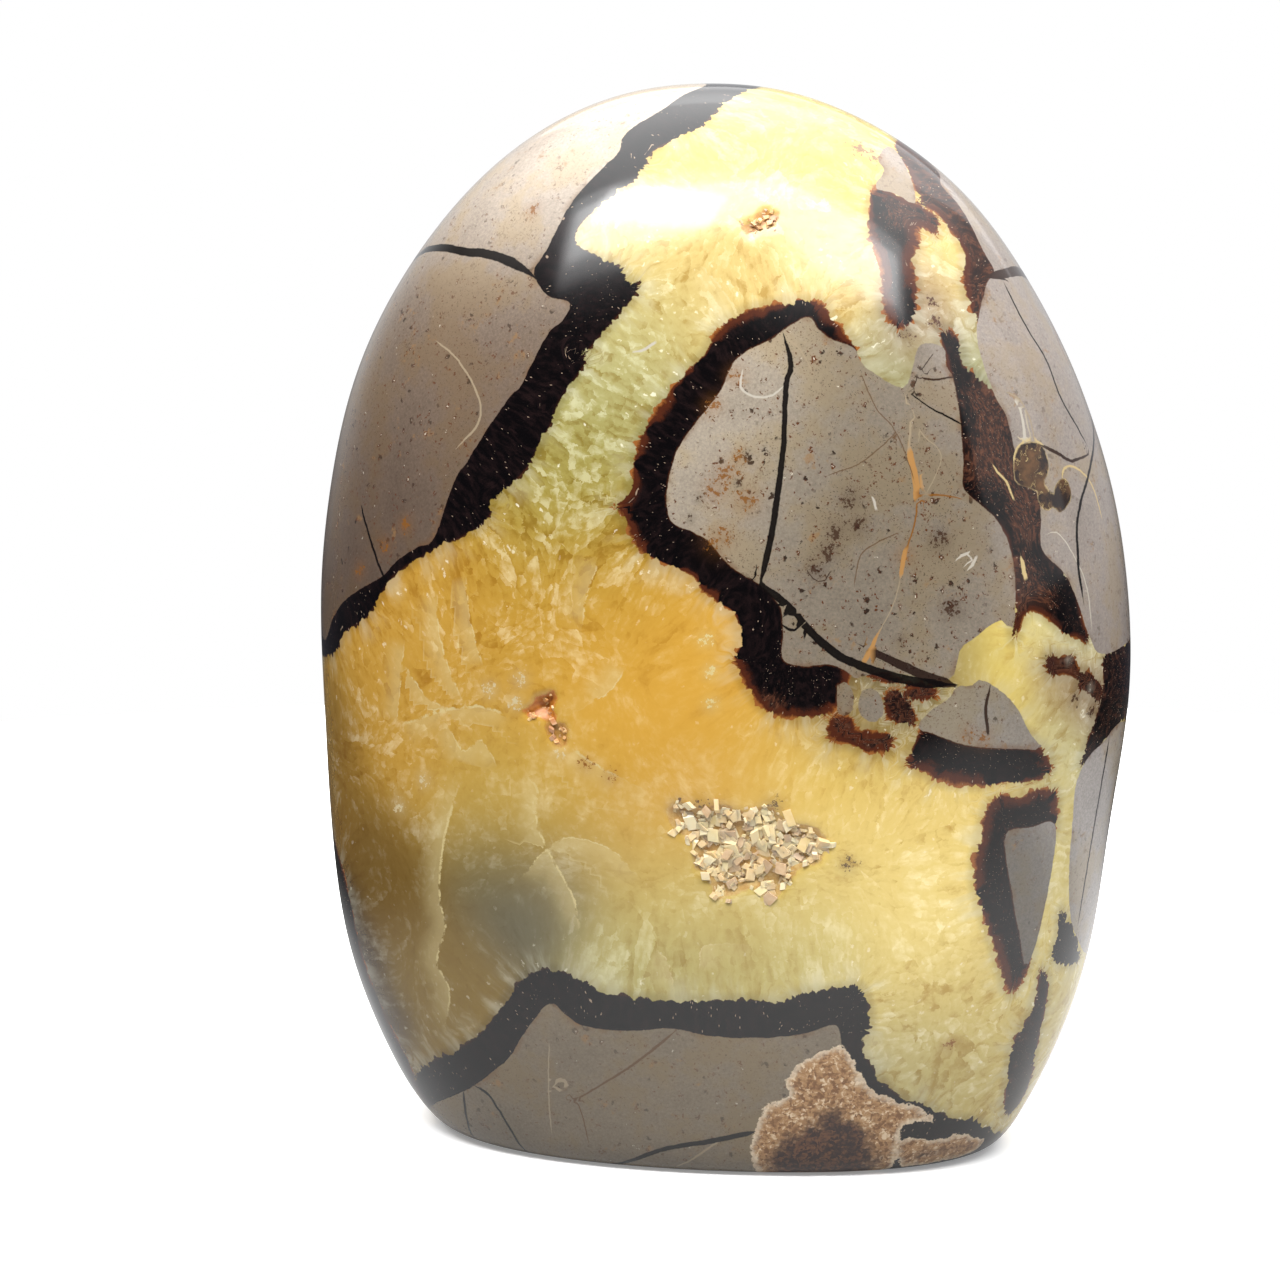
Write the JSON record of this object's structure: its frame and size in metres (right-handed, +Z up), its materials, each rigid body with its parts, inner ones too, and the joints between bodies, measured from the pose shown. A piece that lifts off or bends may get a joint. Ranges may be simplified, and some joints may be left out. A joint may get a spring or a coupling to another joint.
{
  "type": "septarian nodule",
  "caption": "Polished free-form septarian nodule: yellow calcite seams, dark toothed bands and grey stone blocks, standing on a small ground flat.",
  "frame": {"origin": "middle of the ground flat that the stone stands on", "axes": "+Z up, along the stone's length; -Y is the broad face with the crystal hollows; +X is to the right seen from that face"},
  "size_m": [0.1146, 0.0744, 0.15],
  "materials": {
    "septarian_stone": "polished; yellow calcite, dark brown aragonite bands, grey-beige limestone blocks"
  },
  "bodies": {
    "root": {"nodule": "septarian_stone"}
  },
  "joints": []
}
